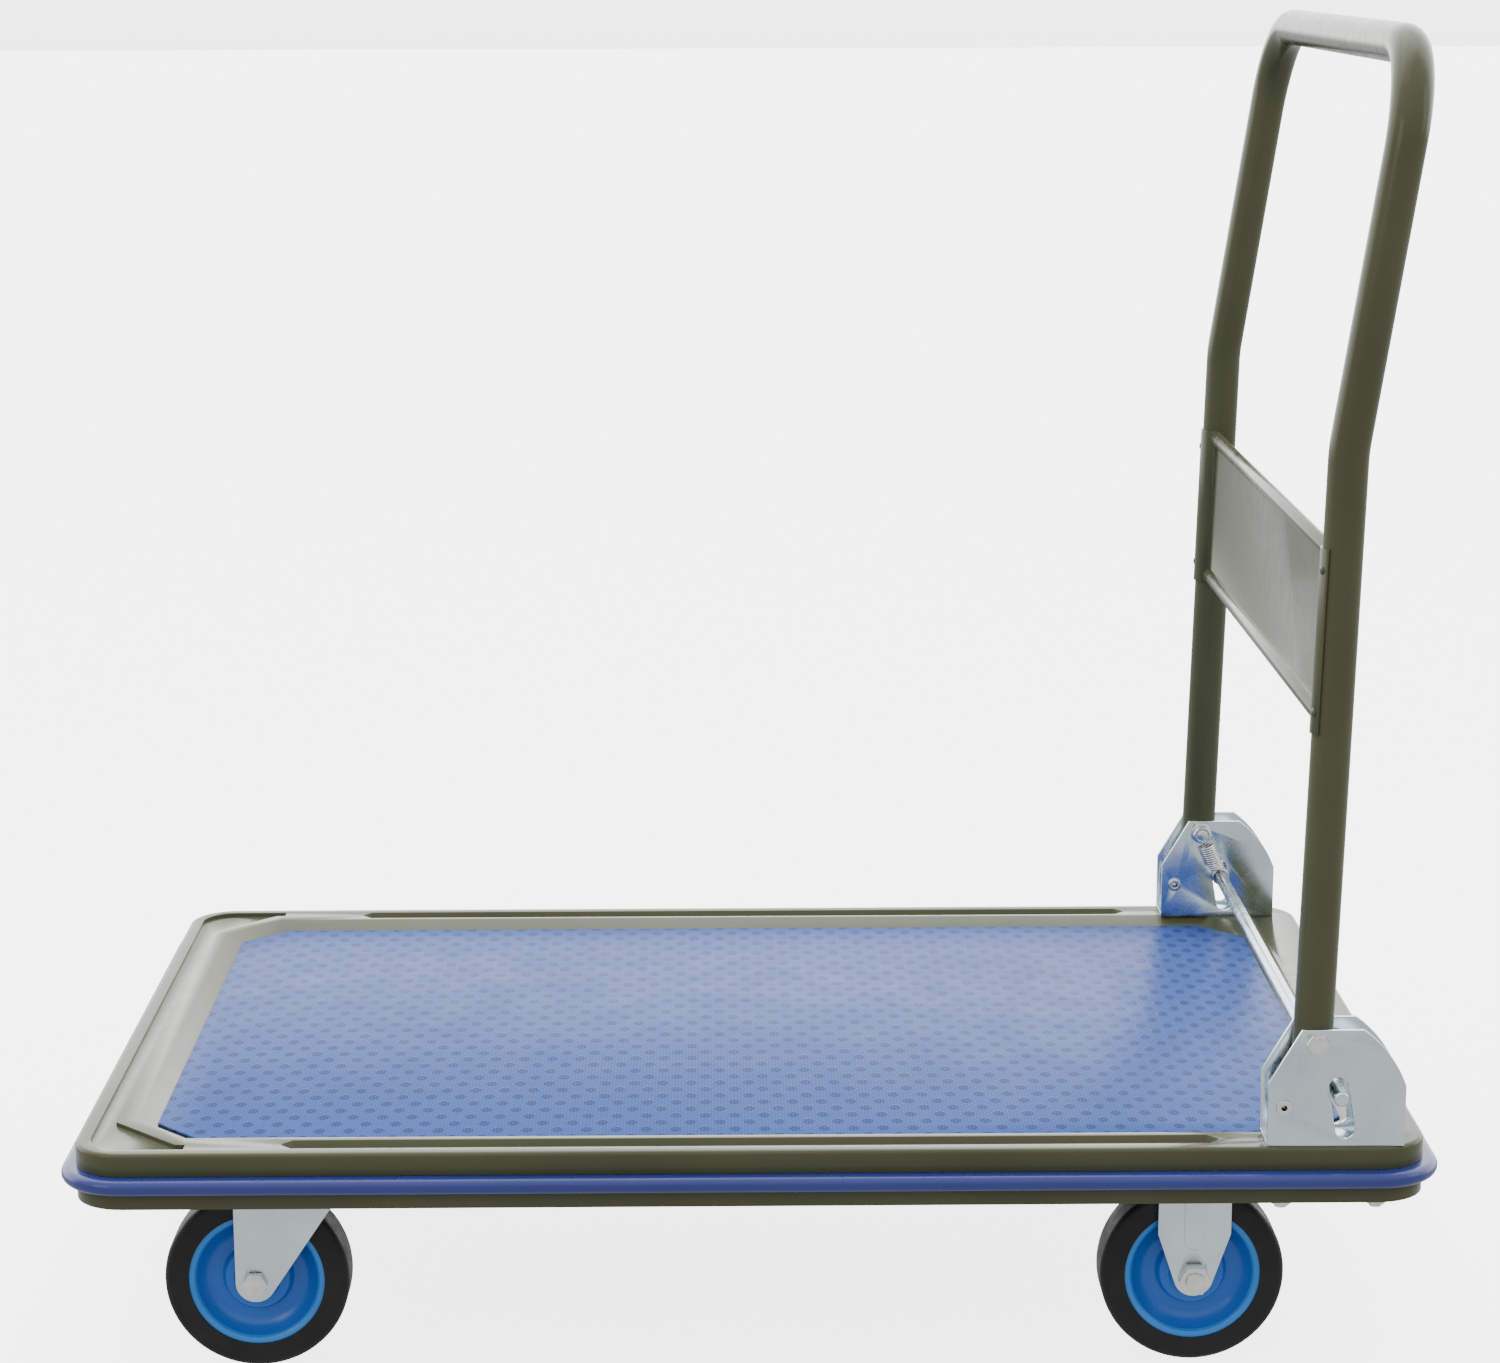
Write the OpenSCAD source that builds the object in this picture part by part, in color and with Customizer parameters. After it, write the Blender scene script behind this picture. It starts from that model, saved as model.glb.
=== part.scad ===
// Folding platform cart: a pressed deck on four casters, with a handle loop that
// folds down over the deck and a spring-held foot bar that locks it upright.
// The handle stands at the +X end, +Z is up, and the floor is at z = 0.

/* [Deck] */
// Length of the steel deck, mm
deck_l = 889; // [800:1:1100]
// Width of the steel deck
deck_w = 586; // [500:1:720]
// Height of the channels between the casters and the deck sheet
channel_h = 15.5; // [12:0.5:24]
// Height of the folded skirt
skirt_h = 38; // [36:1:40]
// Corner radius of the deck, in plan
corner_r = 34; // [33.5:0.5:60]
// Thickness of the deck sheet
sheet_t = 1.5; // [1:0.1:2]
// Width of the lip turned in under the skirt
lip_w = 32; // [30:1:32]
// Width of the rim between the skirt and the mat recess
rim_w = 34.5; // [34:0.5:60]
// Depth of the mat recess
recess_depth = 7; // [5:0.5:9]
// Thickness of the vinyl mat
mat_t = 2; // [1.5:0.5:3]
// Length of the bead slots in the long rims
bead_l = 615; // [300:5:620]
// Width of the bead slots
bead_w = 16; // [10:1:18]
// Depth of the bead slots
bead_depth = 4.5; // [2:0.5:5]

/* [Bumper] */
// How far the bumper stands out of the skirt
bumper_out = 10; // [8:1:18]
// Height of the bumper
bumper_h = 11; // [9:1:14]

/* [Hinge] */
// Length of each hinge bracket along the deck
bracket_l = 90; // [84:1:100]
// Height of each hinge bracket
bracket_h = 79; // [78:1:90]
// Plate thickness of the hinge brackets
bracket_t = 2.5; // [2:0.25:3]
// Distance of a bracket's outer face from the edge of the deck
bracket_inset = 3; // [2:0.5:6]
// Distance from the deck's end to the bracket
bracket_end = 18; // [14:0.5:40]
// Height of the pivot above the deck
pivot_rise = 70; // [68:1:72]
// Diameter of the pivot bolts
pivot_d = 8; // [8:1:10]
// Diameter of the foot bar
bar_d = 10; // [8:1:10]
// Distance from the pivot to the foot bar
bar_reach = 40.1; // [40:0.1:44]
// Travel of the foot bar when it is pressed down
bar_travel = 21; // [15:1:21]

/* [Handle] */
// Outer diameter of the handle tube
tube_d = 26; // [22:1:28]
// Wall of the handle tube
tube_wall = 1.5; // [1.2:0.1:2]
// Outward lean of the lower handle, degrees
lean_low = 1.5; // [0:0.5:3]
// Outward lean of the upper handle, degrees
lean_up = 8.5; // [5:0.5:12]
// Length of the lower straight, measured up from the pivot
low_run = 378; // [350:1:460]
// Overall height of the handle above the pivot, along its own lean
up_run = 182; // [120:1:260]
// Centre-line radius of the bend between lower and upper handle
knee_r = 120; // [80:5:200]
// Centre-line radius of the handle's top corners
top_r = 62; // [45:1:80]
// Height of the handle panel
panel_h = 120; // [80:1:160]
// Height of the panel's lower edge above the pivot
panel_rise = 203; // [150:1:230]

/* [Casters] */
// Wheel diameter
wheel_d = 125; // [104:1:150]
// Tyre width
tyre_w = 32; // [28:1:34]
// Height of a caster above its wheel
caster_head = 30; // [30:1:36]
// Distance of the wheels' middle planes from the cart's middle
caster_y = 203; // [180:1:205]
// Distance of the swivel casters' pins from the deck's middle
swivel_x = 294.5; // [280:1:320]
// Distance of the rigid casters' axles from the deck's middle
rigid_x = 300.5; // [280:1:305]
// Distance from a swivel pin back to its axle
trail = 40; // [32:1:42]
// Axle diameter
axle_d = 12; // [10:1:12]

/* [Hidden] */
$fn = 48;

LEFT = -1;
RIGHT = 1;
FIT = 0.05;        // radial clearance of a part that turns on its pin
GAP = 0.5;         // side clearance between parts that move past each other
CUT = 1;           // how far a cutter runs past the face it opens

// Heights above the floor
axle_z = wheel_d / 2;
crown_z = wheel_d + 4;
plate_top = wheel_d + caster_head;
floor_z = plate_top + channel_h + sheet_t;
deck_h = floor_z + recess_depth;
lip_z = deck_h - skirt_h;
bumper_z = deck_h - 21;
pivot_z = deck_h + pivot_rise;

// Deck
bend_r = 3;
bead_slope = 2;
recess_slope = 12;
mat_gap = 0.5;
recess_l = deck_l - 2 * rim_w;
recess_w = deck_w - 2 * (rim_w - bracket_inset + 0.5);
recess_chamfer = 38;
mat_l = recess_l - 2 * recess_slope;
mat_w = recess_w - 2 * recess_slope;
groove_in = 3;
bead_y = deck_w / 2 - 18.5;
end_bead_out = 10;
end_bead_in = 13;
end_bead_turn = 74;
end_bead_depth = 3;

// Hinge brackets: positions along x are measured from the deck's middle
bracket_x = deck_l / 2 - bracket_end - bracket_l;
bracket_w = tube_d + 2 * GAP + 2 * bracket_t;
outer_face = deck_w / 2 - bracket_inset;
inner_face = outer_face - bracket_w;
hinge_y = outer_face - bracket_w / 2;
bracket_slope = [21, 36];       // the plate's cut-off front corner, along x and z
bracket_round = 80;             // radius of the plate's back arc
bracket_arc = [75.5, 65];       // from the arc's middle out to the plate's back and top
pivot_x = bracket_x + 30.5;
stop_r = 5;
stop_x = pivot_x - 20;
stop_z = pivot_z - 43.5;
slot_lean = 9.8;
slot_w = 13;
bar_angle = 24.5;
bar_x = pivot_x + bar_reach * sin(bar_angle);
bar_z = pivot_z - bar_reach * cos(bar_angle);
slot_above = 7;
slot_below = bar_travel + 1.5;
bar_over = 6;
clip_r = 7;
clip_t = 1.2;
head_af = 13;
head_h = 5.3;
nut_h = 6.5;
washer_t = 1.6;
wire_r = 0.8;
coil_r = 5.2;
coil_turns = 11;
bolt_r = 4;
bolt_in = 13;      // from the deck's skirt line to the bracket bolts, at each end
bracket_bolt_x = [bracket_x + bolt_in, bracket_x + bracket_l - bolt_in - 1.5];
bolt_tail = 2.5;
sleeve_r = 6.5;

// Handle
bend_thick = 0.15;
bar_let_in = 0.5;
foot_len = 31;
bush_r = 6;
saddle_t = 1.2;
saddle_gap = 0.1;
saddle_wrap = 42;
panel_t = 1.2;
bead_r = 6;
rivet_r = 1.6;
rivet_head_r = 3;
rivet_edge = 14;

// Casters
hub_w = 36;
fork_gap = 38;
fork_t = 3;
fork_half = fork_gap / 2 + fork_t;
plate_t = 3;
plate_l = 100;
plate_w = 80;
plate_hole_x = 80;
plate_hole_y = 60;
channel_w = plate_l + 8;
channel_t = 2;
crown_r = 33;
end_r = 13.5;      // round lower end of a fork cheek
rigid_half = 24.75;
rigid_taper = 31;  // from the axle up to where a rigid cheek is full width
rib_w = 14;
rib_end = 27;
rim_r = 0.368 * wheel_d;
sleeve_out = 8;
axle_head_af = 15;
axle_head_h = 5;
axle_nut_af = 19;
axle_nut_h = 8;
kingpin_r = 6;
ball_r = 3;
ball_ring = 24;
ball_count = 16;

// A rectangle with its corners rounded to r
module rounded_rect(l, w, r) {
    square([l - 2 * r, w], center = true);
    square([l, w - 2 * r], center = true);
    for (x = [-1, 1], y = [-1, 1])
        translate([x * (l / 2 - r), y * (w / 2 - r)]) circle(r, $fn = 64);
}

// A rectangle with its corners cut off at 45 degrees
module cut_rect(l, w, c) {
    polygon([[-l / 2 + c, -w / 2], [l / 2 - c, -w / 2], [l / 2, -w / 2 + c],
             [l / 2, w / 2 - c], [l / 2 - c, w / 2], [-l / 2 + c, w / 2],
             [-l / 2, w / 2 - c], [-l / 2, -w / 2 + c]]);
}

// A profile carried round a rounded rectangle; its x = 0 lies on the outline
module sweep_round(l, w, r) {
    for (s = [-1, 1]) {
        translate([-(l / 2 - r), 0, 0]) mirror([0, s < 0 ? 1 : 0, 0])
            translate([0, w / 2, 0]) rotate([90, 0, 90]) linear_extrude(l - 2 * r) children();
        mirror([s < 0 ? 1 : 0, 0, 0]) translate([l / 2, w / 2 - r, 0]) rotate([90, 0, 0])
            linear_extrude(w - 2 * r) children();
        for (t = [-1, 1])
            mirror([s < 0 ? 1 : 0, 0, 0]) mirror([0, t < 0 ? 1 : 0, 0])
                translate([l / 2 - r, w / 2 - r, 0])
                    rotate_extrude(angle = 90, $fn = 64) translate([r, 0]) children();
    }
}

// A sloped recess with chamfered corners: top at z = 0, floor at z = -depth
module tapered_pocket(l, w, chamfer, slope, depth) {
    rise = CUT * slope / depth;
    diag = (l + w) / sqrt(2) - chamfer * sqrt(2);
    module wall(length, width) {
        rotate([90, 0, 90]) translate([0, 0, -length / 2]) linear_extrude(length)
            polygon([[-width / 2 - rise, CUT], [width / 2 + rise, CUT],
                     [width / 2 - slope, -depth], [-width / 2 + slope, -depth]]);
    }
    intersection() {
        wall(2 * l, w);
        rotate([0, 0, 90]) wall(2 * l, l);
        rotate([0, 0, 45]) wall(2 * l, diag);
        rotate([0, 0, -45]) wall(2 * l, diag);
    }
}

// The U-shaped pressed band at the deck's plain end, grown by grow
module end_bead(grow) {
    difference() {
        intersection() {
            rounded_rect(deck_l - 2 * end_bead_out + 2 * grow,
                         deck_w - 2 * end_bead_out + 2 * grow,
                         corner_r - end_bead_out + grow);
            translate([-deck_l / 2, -deck_w / 2])
                square([end_bead_turn + grow, deck_w]);
        }
        cut_rect(recess_l + 2 * (end_bead_in - grow), recess_w + 2 * (end_bead_in - grow),
                 recess_chamfer + 0.6 * end_bead_in);
    }
}

// Every pressed-in shape of the deck sheet; grow gives the underside's offset
module pressings(grow) {
    translate([0, 0, deck_h]) {
        tapered_pocket(recess_l + grow, recess_w + grow, recess_chamfer, recess_slope,
                       recess_depth + grow);
        for (s = [LEFT, RIGHT])
            translate([0, s * bead_y, 0])
                tapered_pocket(bead_l + 2 * grow, bead_w + 2 * grow, bead_w / 2 - 1,
                               bead_slope, bead_depth + grow);
        translate([0, 0, -end_bead_depth - grow])
            linear_extrude(end_bead_depth + grow + CUT) end_bead(grow);
    }
}

// Section of the skirt: bend, upper band, bumper groove, lower band and lip
module skirt_section() {
    t = sheet_t;
    g = bumper_h / 2 + 0.2;
    translate([-bend_r, deck_h - bend_r]) intersection() {
        difference() { circle(bend_r, $fn = 64); circle(bend_r - t, $fn = 64); }
        square(bend_r);
    }
    polygon([[0, deck_h - bend_r], [0, bumper_z + g], [-groove_in, bumper_z + g],
             [-groove_in, bumper_z - g], [0, bumper_z - g], [0, lip_z], [-lip_w, lip_z],
             [-lip_w, lip_z + t], [-t, lip_z + t], [-t, bumper_z - g - t],
             [-groove_in - t, bumper_z - g - t], [-groove_in - t, bumper_z + g + t],
             [-t, bumper_z + g + t], [-t, deck_h - bend_r]]);
}

module deck_pan() {
    color("darkolivegreen") difference() {
        union() {
            sweep_round(deck_l, deck_w, corner_r) skirt_section();
            difference() {
                translate([0, 0, floor_z - sheet_t]) linear_extrude(recess_depth + sheet_t)
                    rounded_rect(deck_l - 2 * bend_r, deck_w - 2 * bend_r, corner_r - bend_r);
                difference() {
                    translate([0, 0, floor_z - sheet_t - CUT])
                        linear_extrude(recess_depth + CUT)
                            square([deck_l, deck_w], center = true);
                    pressings(sheet_t);
                }
            }
        }
        pressings(0);
        for (s = [LEFT, RIGHT], x = bracket_bolt_x)
            translate([x, s * hinge_y, lip_z - CUT]) cylinder(r = bolt_r + 0.3, h = 2 * skirt_h);
    }
}

module deck_mat() {
    color("royalblue") translate([0, 0, floor_z]) linear_extrude(mat_t)
        cut_rect(mat_l - 2 * mat_gap, mat_w - 2 * mat_gap, recess_chamfer - recess_slope / 2);
}

module bumper() {
    color("slateblue") sweep_round(deck_l, deck_w, corner_r) translate([0, bumper_z]) {
        translate([-groove_in, -bumper_h / 2]) square([groove_in, bumper_h]);
        translate([0, -bumper_h / 2]) square([bumper_out - bumper_h / 2, bumper_h]);
        translate([bumper_out - bumper_h / 2, 0]) circle(bumper_h / 2, $fn = 64);
    }
}

// A hat-section channel under the deck, as long as l across the cart
module cross_channel(x) {
    color("darkolivegreen") difference() {
        translate([x - channel_w / 2, -mat_w / 2, plate_top])
            cube([channel_w, mat_w, channel_h]);
        translate([x - channel_w / 2 + channel_t, -mat_w / 2 - CUT, plate_top + channel_t])
            cube([channel_w - 2 * channel_t, mat_w + 2 * CUT, channel_h]);
        caster_hole_places() translate([0, 0, plate_top - CUT])
            cylinder(r = bolt_r + 0.3, h = channel_t + 2 * CUT);
        for (s = [LEFT, RIGHT])
            translate([-swivel_x, s * caster_y, plate_top - CUT])
                cylinder(r = kingpin_r + 5, h = channel_t + 2 * CUT);
    }
}

module cross_channel_front() { cross_channel(-swivel_x); }

module cross_channel_rear() { cross_channel(rigid_x); }

module spine_channel() {
    spine_w = 90;
    x0 = -swivel_x + channel_w / 2;
    x1 = rigid_x - channel_w / 2;
    color("darkolivegreen") difference() {
        translate([x0, -spine_w / 2, plate_top]) cube([x1 - x0, spine_w, channel_h]);
        translate([x0 - CUT, -spine_w / 2 + channel_t, plate_top + channel_t])
            cube([x1 - x0 + 2 * CUT, spine_w - 2 * channel_t, channel_h]);
    }
}

// Outline of a bracket plate, from its lower corner; its back corner is one large arc
module plate_outline() {
    middle = [bracket_l - bracket_arc[0], bracket_h - bracket_arc[1]];
    from = acos(bracket_arc[0] / bracket_round);
    step = (asin(bracket_arc[1] / bracket_round) - from) / 16;
    polygon(concat([[0, 0], [bracket_l, 0]],
        [for (i = [0 : 16]) middle + bracket_round * [cos(from + step * i),
                                                      sin(from + step * i)]],
        [[bracket_slope[0], bracket_h], [0, bracket_h - bracket_slope[1]]]));
}

// The slanted slot that the foot bar slides in, as a cutter
module bar_slot() {
    flank = slot_w / 2 - 0.02;
    translate([bar_x, 0, bar_z]) rotate([0, -slot_lean, 0]) {
        for (z = [slot_above, -slot_below]) translate([0, 0, z]) rotate([90, 0, 0])
            cylinder(d = slot_w, h = 2 * bracket_w, center = true);
        translate([-flank, -bracket_w, -slot_below])
            cube([2 * flank, 2 * bracket_w, slot_above + slot_below]);
    }
}

module hinge_bracket(side) {
    color("lightsteelblue") difference() {
        mirror([0, side < 0 ? 1 : 0, 0]) {
            for (y = [inner_face + bracket_t, outer_face])
                translate([bracket_x, y, deck_h]) rotate([90, 0, 0])
                    linear_extrude(bracket_t) plate_outline();
            translate([bracket_x, inner_face, deck_h]) cube([bracket_l, bracket_w, bracket_t]);
        }
        translate([0, side * hinge_y, 0]) bar_slot();
        translate([pivot_x, side * hinge_y, pivot_z]) rotate([90, 0, 0])
            cylinder(d = pivot_d, h = 2 * bracket_w, center = true);
        translate([stop_x, side * hinge_y, stop_z]) rotate([90, 0, 0])
            cylinder(r = stop_r - 1, h = 2 * bracket_w, center = true);
        for (x = bracket_bolt_x)
            translate([x, side * hinge_y, deck_h - CUT])
                cylinder(r = bolt_r, h = bracket_t + 2 * CUT);
    }
}

module hinge_bracket_left() { hinge_bracket(LEFT); }

module hinge_bracket_right() { hinge_bracket(RIGHT); }

module hex(af, h) { cylinder(d = af / cos(30), h = h, $fn = 6); }

// Puts its children on every bracket bolt's axis, at z = 0
module bracket_bolt_places() {
    for (s = [LEFT, RIGHT], x = bracket_bolt_x) translate([x, s * hinge_y, 0]) children();
}

module bracket_bolts() {
    z0 = lip_z - nut_h - bolt_tail;
    color("silver") bracket_bolt_places() {
        translate([0, 0, z0]) cylinder(r = bolt_r, h = deck_h + bracket_t - z0);
        translate([0, 0, deck_h + bracket_t]) hex(head_af, head_h);
    }
}

module bracket_nuts() {
    color("silver") bracket_bolt_places() translate([0, 0, lip_z - nut_h]) difference() {
        hex(head_af, nut_h);
        translate([0, 0, -CUT]) cylinder(r = bolt_r, h = nut_h + 2 * CUT);
    }
}

module bracket_sleeves() {
    z0 = lip_z + sheet_t;
    h = skirt_h - 2 * sheet_t;
    color("silver") bracket_bolt_places() translate([0, 0, z0]) difference() {
        cylinder(r = sleeve_r, h = h);
        translate([0, 0, -CUT]) cylinder(r = bolt_r + 0.3, h = h + 2 * CUT);
    }
}

// Puts its children on both pivots, +Z pointing out of the cart and z = 0 in the tube's middle
module pivot_places(x = pivot_x, z = pivot_z) {
    for (s = [LEFT, RIGHT])
        translate([x, s * hinge_y, z]) rotate([-90 * s, 0, 0]) children();
}

half_w = bracket_w / 2;
eye_y = half_w + 0.4 + wire_r;             // middle of a spring eye, beside the inner plate
washer_y = eye_y + wire_r + 0.2;
pivot_nut_y = washer_y + washer_t;

module pivot_bolts() {
    color("silver") pivot_places() {
        translate([0, 0, half_w]) hex(head_af, head_h);
        translate([0, 0, -pivot_nut_y - nut_h - 2]) cylinder(d = pivot_d,
            h = half_w + pivot_nut_y + nut_h + 2);
    }
}

module pivot_washers() {
    color("silver") pivot_places() translate([0, 0, -washer_y - washer_t]) difference() {
        cylinder(r = pivot_d, h = washer_t);
        translate([0, 0, -CUT]) cylinder(d = pivot_d, h = washer_t + 2 * CUT);
    }
}

module pivot_nuts() {
    color("silver") pivot_places() translate([0, 0, -pivot_nut_y - nut_h]) difference() {
        hex(head_af, nut_h);
        translate([0, 0, -CUT]) cylinder(d = pivot_d, h = nut_h + 2 * CUT);
    }
}

module stop_rivets() {
    color("silver") pivot_places(stop_x, stop_z) difference() {
        union() {
            translate([0, 0, -half_w]) cylinder(r = stop_r - 1, h = bracket_w);
            translate([0, 0, -half_w + bracket_t])
                cylinder(r = stop_r, h = bracket_w - 2 * bracket_t);
            for (z = [-half_w - 1.5, half_w]) translate([0, 0, z]) cylinder(r = stop_r, h = 1.5);
        }
        translate([0, 0, -bracket_w]) cylinder(r = 2, h = 2 * bracket_w);
    }
}

// Section of the handle tube; extra thickens the wall a little on both faces, as bending does
module tube_ring(extra = 0) {
    difference() {
        circle(d = tube_d + 2 * extra, $fn = 64);
        circle(d = tube_d - 2 * tube_wall - 2 * extra, $fn = 64);
    }
}

// One side of the handle loop, from below the pivot to the middle of the top bar
module handle_side() {
    knee = lean_up - lean_low;
    translate([pivot_x, hinge_y, pivot_z]) rotate([0, lean_low, 0]) {
        translate([0, 0, -foot_len]) linear_extrude(low_run + foot_len) tube_ring();
        translate([knee_r, 0, low_run]) {
            mirror([1, 0, 0]) rotate([90, 0, 0]) rotate_extrude(angle = knee)
                translate([knee_r, 0]) tube_ring(bend_thick);
            rotate([0, knee, 0]) translate([-knee_r, 0, 0]) {
                linear_extrude(up_run) tube_ring();
                translate([0, -top_r, up_run]) rotate([90, 0, 90])
                    rotate_extrude(angle = 90) translate([top_r, 0]) tube_ring(bend_thick);
            }
        }
    }
}

// The bar across the top, let a little way into the two thicker top corners
module handle_top() {
    knee = lean_up - lean_low;
    half = hinge_y - top_r + bar_let_in;
    translate([pivot_x, 0, pivot_z]) rotate([0, lean_low, 0])
        translate([knee_r, 0, low_run]) rotate([0, knee, 0])
            translate([-knee_r, half, up_run + top_r]) rotate([90, 0, 0])
                linear_extrude(2 * half) tube_ring();
}

// Puts its children on the four small rivets, +Z pointing out of the cart
module rivet_places() {
    for (s = [LEFT, RIGHT], z = [panel_rise + rivet_edge, panel_rise + panel_h - rivet_edge])
        translate([pivot_x, s * hinge_y, pivot_z]) rotate([0, lean_low, 0])
            translate([0, 0, z]) rotate([-90 * s, 0, 0]) rotate([0, 0, s * 90])
                rotate([s * -70, 0, 0]) children();
}

module handle_tube() {
    color("darkolivegreen") difference() {
        union() {
            handle_side();
            mirror([0, 1, 0]) handle_side();
            handle_top();
        }
        pivot_places() cylinder(r = bush_r, h = 2 * tube_d, center = true);
    }
}

module pivot_bushings() {
    color("silver") pivot_places() difference() {
        cylinder(r = bush_r, h = tube_d + GAP, center = true);
        cylinder(d = pivot_d + 2 * FIT, h = 2 * tube_d, center = true);
    }
}

// The panel lies between the tubes and hugs the face of each that looks over the deck
module handle_panel() {
    in_r = tube_d / 2 + saddle_gap;
    out_r = in_r + saddle_t;
    reach = hinge_y - out_r + 0.6;
    flat_x = -4;
    color("darkolivegreen") translate([pivot_x, 0, pivot_z]) rotate([0, lean_low, 0])
        translate([0, 0, panel_rise]) {
            for (s = [LEFT, RIGHT]) translate([0, s * hinge_y, 0]) linear_extrude(panel_h)
                intersection() {
                    difference() { circle(out_r, $fn = 64); circle(in_r, $fn = 64); }
                    polygon([[0, 0], [-flat_x, -s * 2 * out_r], [-2 * out_r, -s * 2 * out_r],
                             [-2 * out_r, s * 2 * out_r * tan(saddle_wrap)]]);
                }
            rotate([90, 0, 0]) translate([0, 0, -reach]) linear_extrude(2 * reach) {
                translate([flat_x, 2 * bead_r - 1]) square([panel_t, panel_h - 4 * bead_r + 2]);
                for (z = [bead_r, panel_h - bead_r]) translate([flat_x + panel_t, z])
                    intersection() {
                        difference() {
                            circle(bead_r, $fn = 48);
                            circle(bead_r - panel_t, $fn = 48);
                        }
                        translate([-bead_r, -bead_r]) square([bead_r, 2 * bead_r]);
                    }
            }
        }
}

module panel_rivets() {
    color("olivedrab") rivet_places() translate([0, 0, tube_d / 2 + saddle_gap + saddle_t])
        cylinder(r1 = rivet_head_r, r2 = rivet_r, h = 0.9);
}

module foot_bar() {
    half_l = outer_face + bar_over;
    chamfer = 1;
    color("lightsteelblue") translate([bar_x, 0, bar_z]) rotate([90, 0, 0]) {
        cylinder(d = bar_d, h = 2 * (half_l - chamfer), center = true);
        for (s = [-1, 1]) mirror([0, 0, s < 0 ? 1 : 0]) translate([0, 0, half_l - chamfer])
            cylinder(r1 = bar_d / 2, r2 = bar_d / 2 - chamfer, h = chamfer);
    }
}

module foot_bar_clips() {
    color("silver") for (s = [LEFT, RIGHT])
        translate([bar_x, s * (inner_face + bracket_t + 1), bar_z]) rotate([-90 * s, 0, 0])
            difference() {
                cylinder(r = clip_r, h = clip_t);
                translate([0, 0, -CUT]) cylinder(d = bar_d, h = clip_t + 2 * CUT);
            }
}

// Tension spring from the pivot bolt down to the foot bar: its coil as a sleeve, two eyes
module spring(side) {
    coil_top = pivot_d + 1.5;
    coil_l = coil_turns * (2 * wire_r + 0.4);
    low_eye = bar_d / 2 + wire_r + 0.3;
    up_eye = pivot_d / 2 + wire_r + 0.3;
    color("silver") translate([pivot_x, side * (hinge_y - eye_y), pivot_z])
        rotate([0, -bar_angle, 0]) mirror([0, side < 0 ? 1 : 0, 0]) mirror([0, 0, 1]) {
            rotate([90, 0, 0]) difference() {
                cylinder(r = up_eye + wire_r, h = 2 * wire_r, center = true);
                cylinder(r = up_eye - wire_r, h = 4 * wire_r, center = true);
            }
            translate([0, 0, bar_reach]) rotate([90, 0, 0]) difference() {
                cylinder(r = low_eye + wire_r, h = 2 * wire_r, center = true);
                cylinder(r = low_eye - wire_r, h = 4 * wire_r, center = true);
            }
            translate([0, -coil_r, coil_top]) difference() {
                cylinder(r = coil_r + wire_r, h = coil_l);
                translate([0, 0, -CUT]) cylinder(r = coil_r - wire_r, h = coil_l + 2 * CUT);
            }
            translate([-wire_r, -wire_r, up_eye]) cube([2 * wire_r, 2 * wire_r,
                coil_top - up_eye + 1]);
            translate([-wire_r, -wire_r, coil_top + coil_l - 1]) cube([2 * wire_r, 2 * wire_r,
                bar_reach - low_eye - coil_top - coil_l + 1]);
        }
}

module spring_left() { spring(LEFT); }

module spring_right() { spring(RIGHT); }

// Puts its children on the middle of each caster, at z = 0
module swivel_place(side) { translate([-swivel_x, side * caster_y, 0]) children(); }

module rigid_place(side) { translate([rigid_x, side * caster_y, 0]) children(); }

// Puts its children on every caster bolt's axis
module caster_hole_places() {
    for (s = [LEFT, RIGHT], cx = [-swivel_x, rigid_x], x = [-1, 1], y = [-1, 1])
        translate([cx + x * plate_hole_x / 2, s * caster_y + y * plate_hole_y / 2, 0])
            children();
}

module top_plate() {
    translate([0, 0, plate_top - plate_t]) difference() {
        linear_extrude(plate_t) rounded_rect(plate_l, plate_w, 10);
        for (x = [-1, 1], y = [-1, 1])
            translate([x * plate_hole_x / 2, y * plate_hole_y / 2, -CUT])
                cylinder(r = bolt_r + 0.3, h = plate_t + 2 * CUT);
    }
}

race_z = crown_z + plate_t + 8;      // middle of the ball ring

module swivel_plate(side) {
    h = plate_top - plate_t - race_z - 1;
    color("lightsteelblue") swivel_place(side) difference() {
        union() {
            top_plate();
            translate([0, 0, race_z + 1]) cylinder(r = ball_ring + 6, h = h);
        }
        translate([0, 0, race_z]) rotate_extrude() translate([ball_ring, 0])
            circle(ball_r + FIT, $fn = 32);
        translate([0, 0, race_z - CUT]) cylinder(r = kingpin_r + 1, h = plate_top);
    }
}

module swivel_plate_left() { swivel_plate(LEFT); }

module swivel_plate_right() { swivel_plate(RIGHT); }

module swivel_balls(side) {
    color("silver") swivel_place(side) for (i = [0 : ball_count - 1])
        rotate([0, 0, i * 360 / ball_count]) translate([ball_ring, 0, race_z])
            sphere(ball_r - FIT, $fn = 16);
}

module swivel_balls_left() { swivel_balls(LEFT); }

module swivel_balls_right() { swivel_balls(RIGHT); }

// Fork cheek of a swivel caster: straight in front, slanted behind, round at the axle
module swivel_cheek() {
    slant = 32;
    tip = [end_r * cos(slant), -end_r * sin(slant)];
    back = crown_r + 28;
    hull_top = crown_z - axle_z;
    circle(end_r, $fn = 48);
    polygon([[-end_r, 0], [0, -end_r * 0.2], tip, [back, hull_top],
             [-end_r, hull_top]]);
}

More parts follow.
